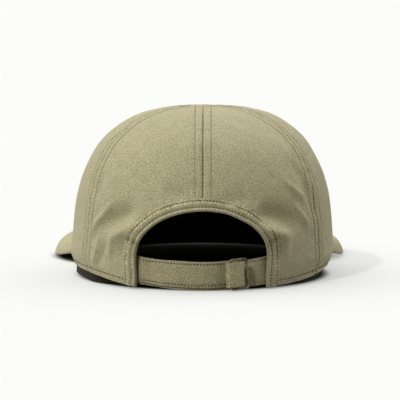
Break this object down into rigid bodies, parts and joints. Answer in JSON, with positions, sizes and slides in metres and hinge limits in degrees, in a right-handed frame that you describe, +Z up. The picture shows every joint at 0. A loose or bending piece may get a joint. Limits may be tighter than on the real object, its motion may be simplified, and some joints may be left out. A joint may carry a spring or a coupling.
{
  "type": "baseball cap",
  "caption": "Soft cotton cap with a stitched panelled crown, stiff visor, arched back opening and a cloth strap adjusted by a sliding metal buckle.",
  "frame": {"origin": "under the middle of the whole cap, on the surface that it stands on", "axes": "+Y toward the visor, -Y toward the back opening and strap, +X to the wearer's right, +Z up"},
  "size_m": [0.2054, 0.2694, 0.1138],
  "materials": {
    "twill": "olive-khaki cotton twill, soft and matt",
    "strap": "olive-khaki cotton twill strap, edge stitched",
    "seam_tape": "plain cotton tape",
    "sweatband": "dark olive cotton twill",
    "visor_board": "moulded sheet, hidden in the visor",
    "buckle_metal": "antique brass, dulled"
  },
  "bodies": {
    "cap": {"panel_back_right": "twill", "panel_side_right": "twill", "panel_front_right": "twill", "panel_front_left": "twill", "panel_side_left": "twill", "panel_back_left": "twill", "seam_tape_back": "seam_tape", "seam_tape_side_back_right": "seam_tape", "seam_tape_side_front_right": "seam_tape", "seam_tape_front": "seam_tape", "seam_tape_side_front_left": "seam_tape", "seam_tape_side_back_left": "seam_tape", "arch_binding": "twill", "sweatband": "sweatband", "visor_top_cover": "twill", "visor_board": "visor_board", "visor_under_cover": "twill", "top_button": "twill", "button_rivet": "buckle_metal", "strap_left": "strap", "strap_right": "strap"},
    "strap_slider": {"strap_fold": "strap"},
    "slider_frame": {"buckle_frame": "buckle_metal"}
  },
  "joints": [
    {"name": "buckle_slide", "type": "hinge", "parent": "cap", "child": "strap_slider", "pos_m": [0.00269, -0.06603, 0.01551], "axis": [0, -0.2079, 0.9781], "range_deg": [-32, 6]},
    {"name": "buckle_tilt", "type": "hinge", "parent": "strap_slider", "child": "slider_frame", "pos_m": [0.0265, -0.13031, 0.01079], "axis": [0.0726, 0.0128, -0.9973], "range_deg": [0, 8]}
  ]
}
